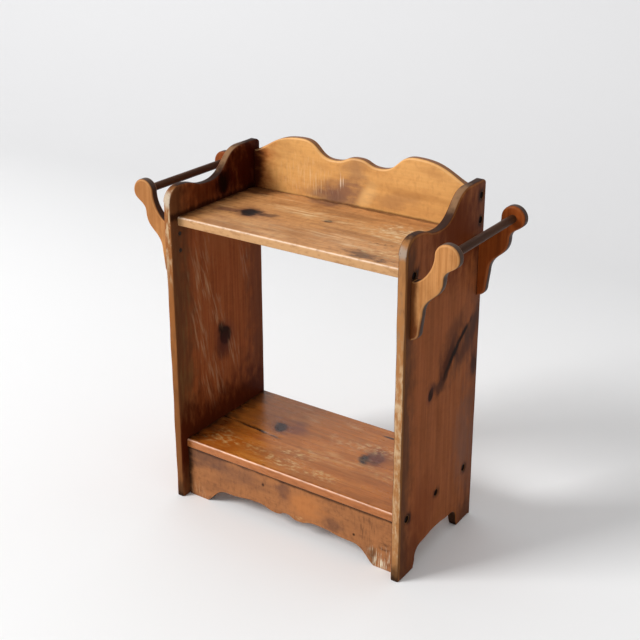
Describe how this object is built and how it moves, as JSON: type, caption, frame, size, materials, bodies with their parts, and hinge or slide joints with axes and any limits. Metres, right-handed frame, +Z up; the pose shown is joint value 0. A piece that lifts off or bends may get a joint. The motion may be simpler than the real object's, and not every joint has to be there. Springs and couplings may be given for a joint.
{
  "type": "washstand",
  "caption": "Pine washstand with scrolled sides, an open shelf below a galleried top shelf, a scalloped apron and a turning towel bar on each side.",
  "frame": {"origin": "on the floor, at the middle of the stand", "axes": "+Z up, front faces -Y, +X to the right seen from the front"},
  "size_m": [0.726, 0.286, 0.741],
  "materials": {
    "dark_pine": "stained pine, satin varnish, worn edges",
    "shelf_pine": "knotty pine, satin varnish, scuffed",
    "gallery_pine": "golden pine, satin varnish",
    "apron_pine": "blotchy stained pine, satin varnish",
    "bracket_pine": "pine, satin varnish, dark cut edges",
    "dowel_birch": "dark stained birch dowel, satin",
    "plug_wood": "dark end grain",
    "raw_pine": "raw sawn pine",
    "screw_steel": "dull slotted wood screw"
  },
  "bodies": {
    "stand": {"back_gallery": "gallery_pine", "front_apron": "apron_pine", "left_front_bracket": "bracket_pine", "left_front_bracket_lower_screw": "screw_steel", "left_front_bracket_upper_screw": "screw_steel", "left_gallery_lower_plug": "plug_wood", "left_gallery_lower_screw": "screw_steel", "left_gallery_upper_plug": "plug_wood", "left_gallery_upper_screw": "screw_steel", "left_glue_block": "raw_pine", "left_lower_shelf_front_plug": "plug_wood", "left_lower_shelf_front_screw": "screw_steel", "left_lower_shelf_middle_plug": "plug_wood", "left_lower_shelf_middle_screw": "screw_steel", "left_lower_shelf_rear_plug": "plug_wood", "left_lower_shelf_rear_screw": "screw_steel", "left_rear_bracket": "bracket_pine", "left_rear_bracket_lower_screw": "screw_steel", "left_rear_bracket_upper_screw": "screw_steel", "left_side": "dark_pine", "left_upper_shelf_front_plug": "plug_wood", "left_upper_shelf_front_screw": "screw_steel", "left_upper_shelf_middle_plug": "plug_wood", "left_upper_shelf_middle_screw": "screw_steel", "left_upper_shelf_rear_plug": "plug_wood", "left_upper_shelf_rear_screw": "screw_steel", "lower_shelf": "shelf_pine", "right_front_bracket": "bracket_pine", "right_front_bracket_lower_screw": "screw_steel", "right_front_bracket_upper_screw": "screw_steel", "right_gallery_lower_plug": "plug_wood", "right_gallery_lower_screw": "screw_steel", "right_gallery_upper_plug": "plug_wood", "right_gallery_upper_screw": "screw_steel", "right_glue_block": "raw_pine", "right_lower_shelf_front_plug": "plug_wood", "right_lower_shelf_front_screw": "screw_steel", "right_lower_shelf_middle_plug": "plug_wood", "right_lower_shelf_middle_screw": "screw_steel", "right_lower_shelf_rear_plug": "plug_wood", "right_lower_shelf_rear_screw": "screw_steel", "right_rear_bracket": "bracket_pine", "right_rear_bracket_lower_screw": "screw_steel", "right_rear_bracket_upper_screw": "screw_steel", "right_side": "dark_pine", "right_upper_shelf_front_plug": "plug_wood", "right_upper_shelf_front_screw": "screw_steel", "right_upper_shelf_middle_plug": "plug_wood", "right_upper_shelf_middle_screw": "screw_steel", "right_upper_shelf_rear_plug": "plug_wood", "right_upper_shelf_rear_screw": "screw_steel", "upper_shelf": "shelf_pine"},
    "left_bar": {"left_towel_bar": "dowel_birch"},
    "right_bar": {"right_towel_bar": "dowel_birch"}
  },
  "joints": [
    {"name": "left_bar_turn", "type": "hinge", "parent": "stand", "child": "left_bar", "pos_m": [-0.339, 0.0075, 0.659], "axis": [0, 1, 0], "continuous": true},
    {"name": "right_bar_turn", "type": "hinge", "parent": "stand", "child": "right_bar", "pos_m": [0.339, 0.0075, 0.659], "axis": [0, 1, 0], "continuous": true}
  ]
}
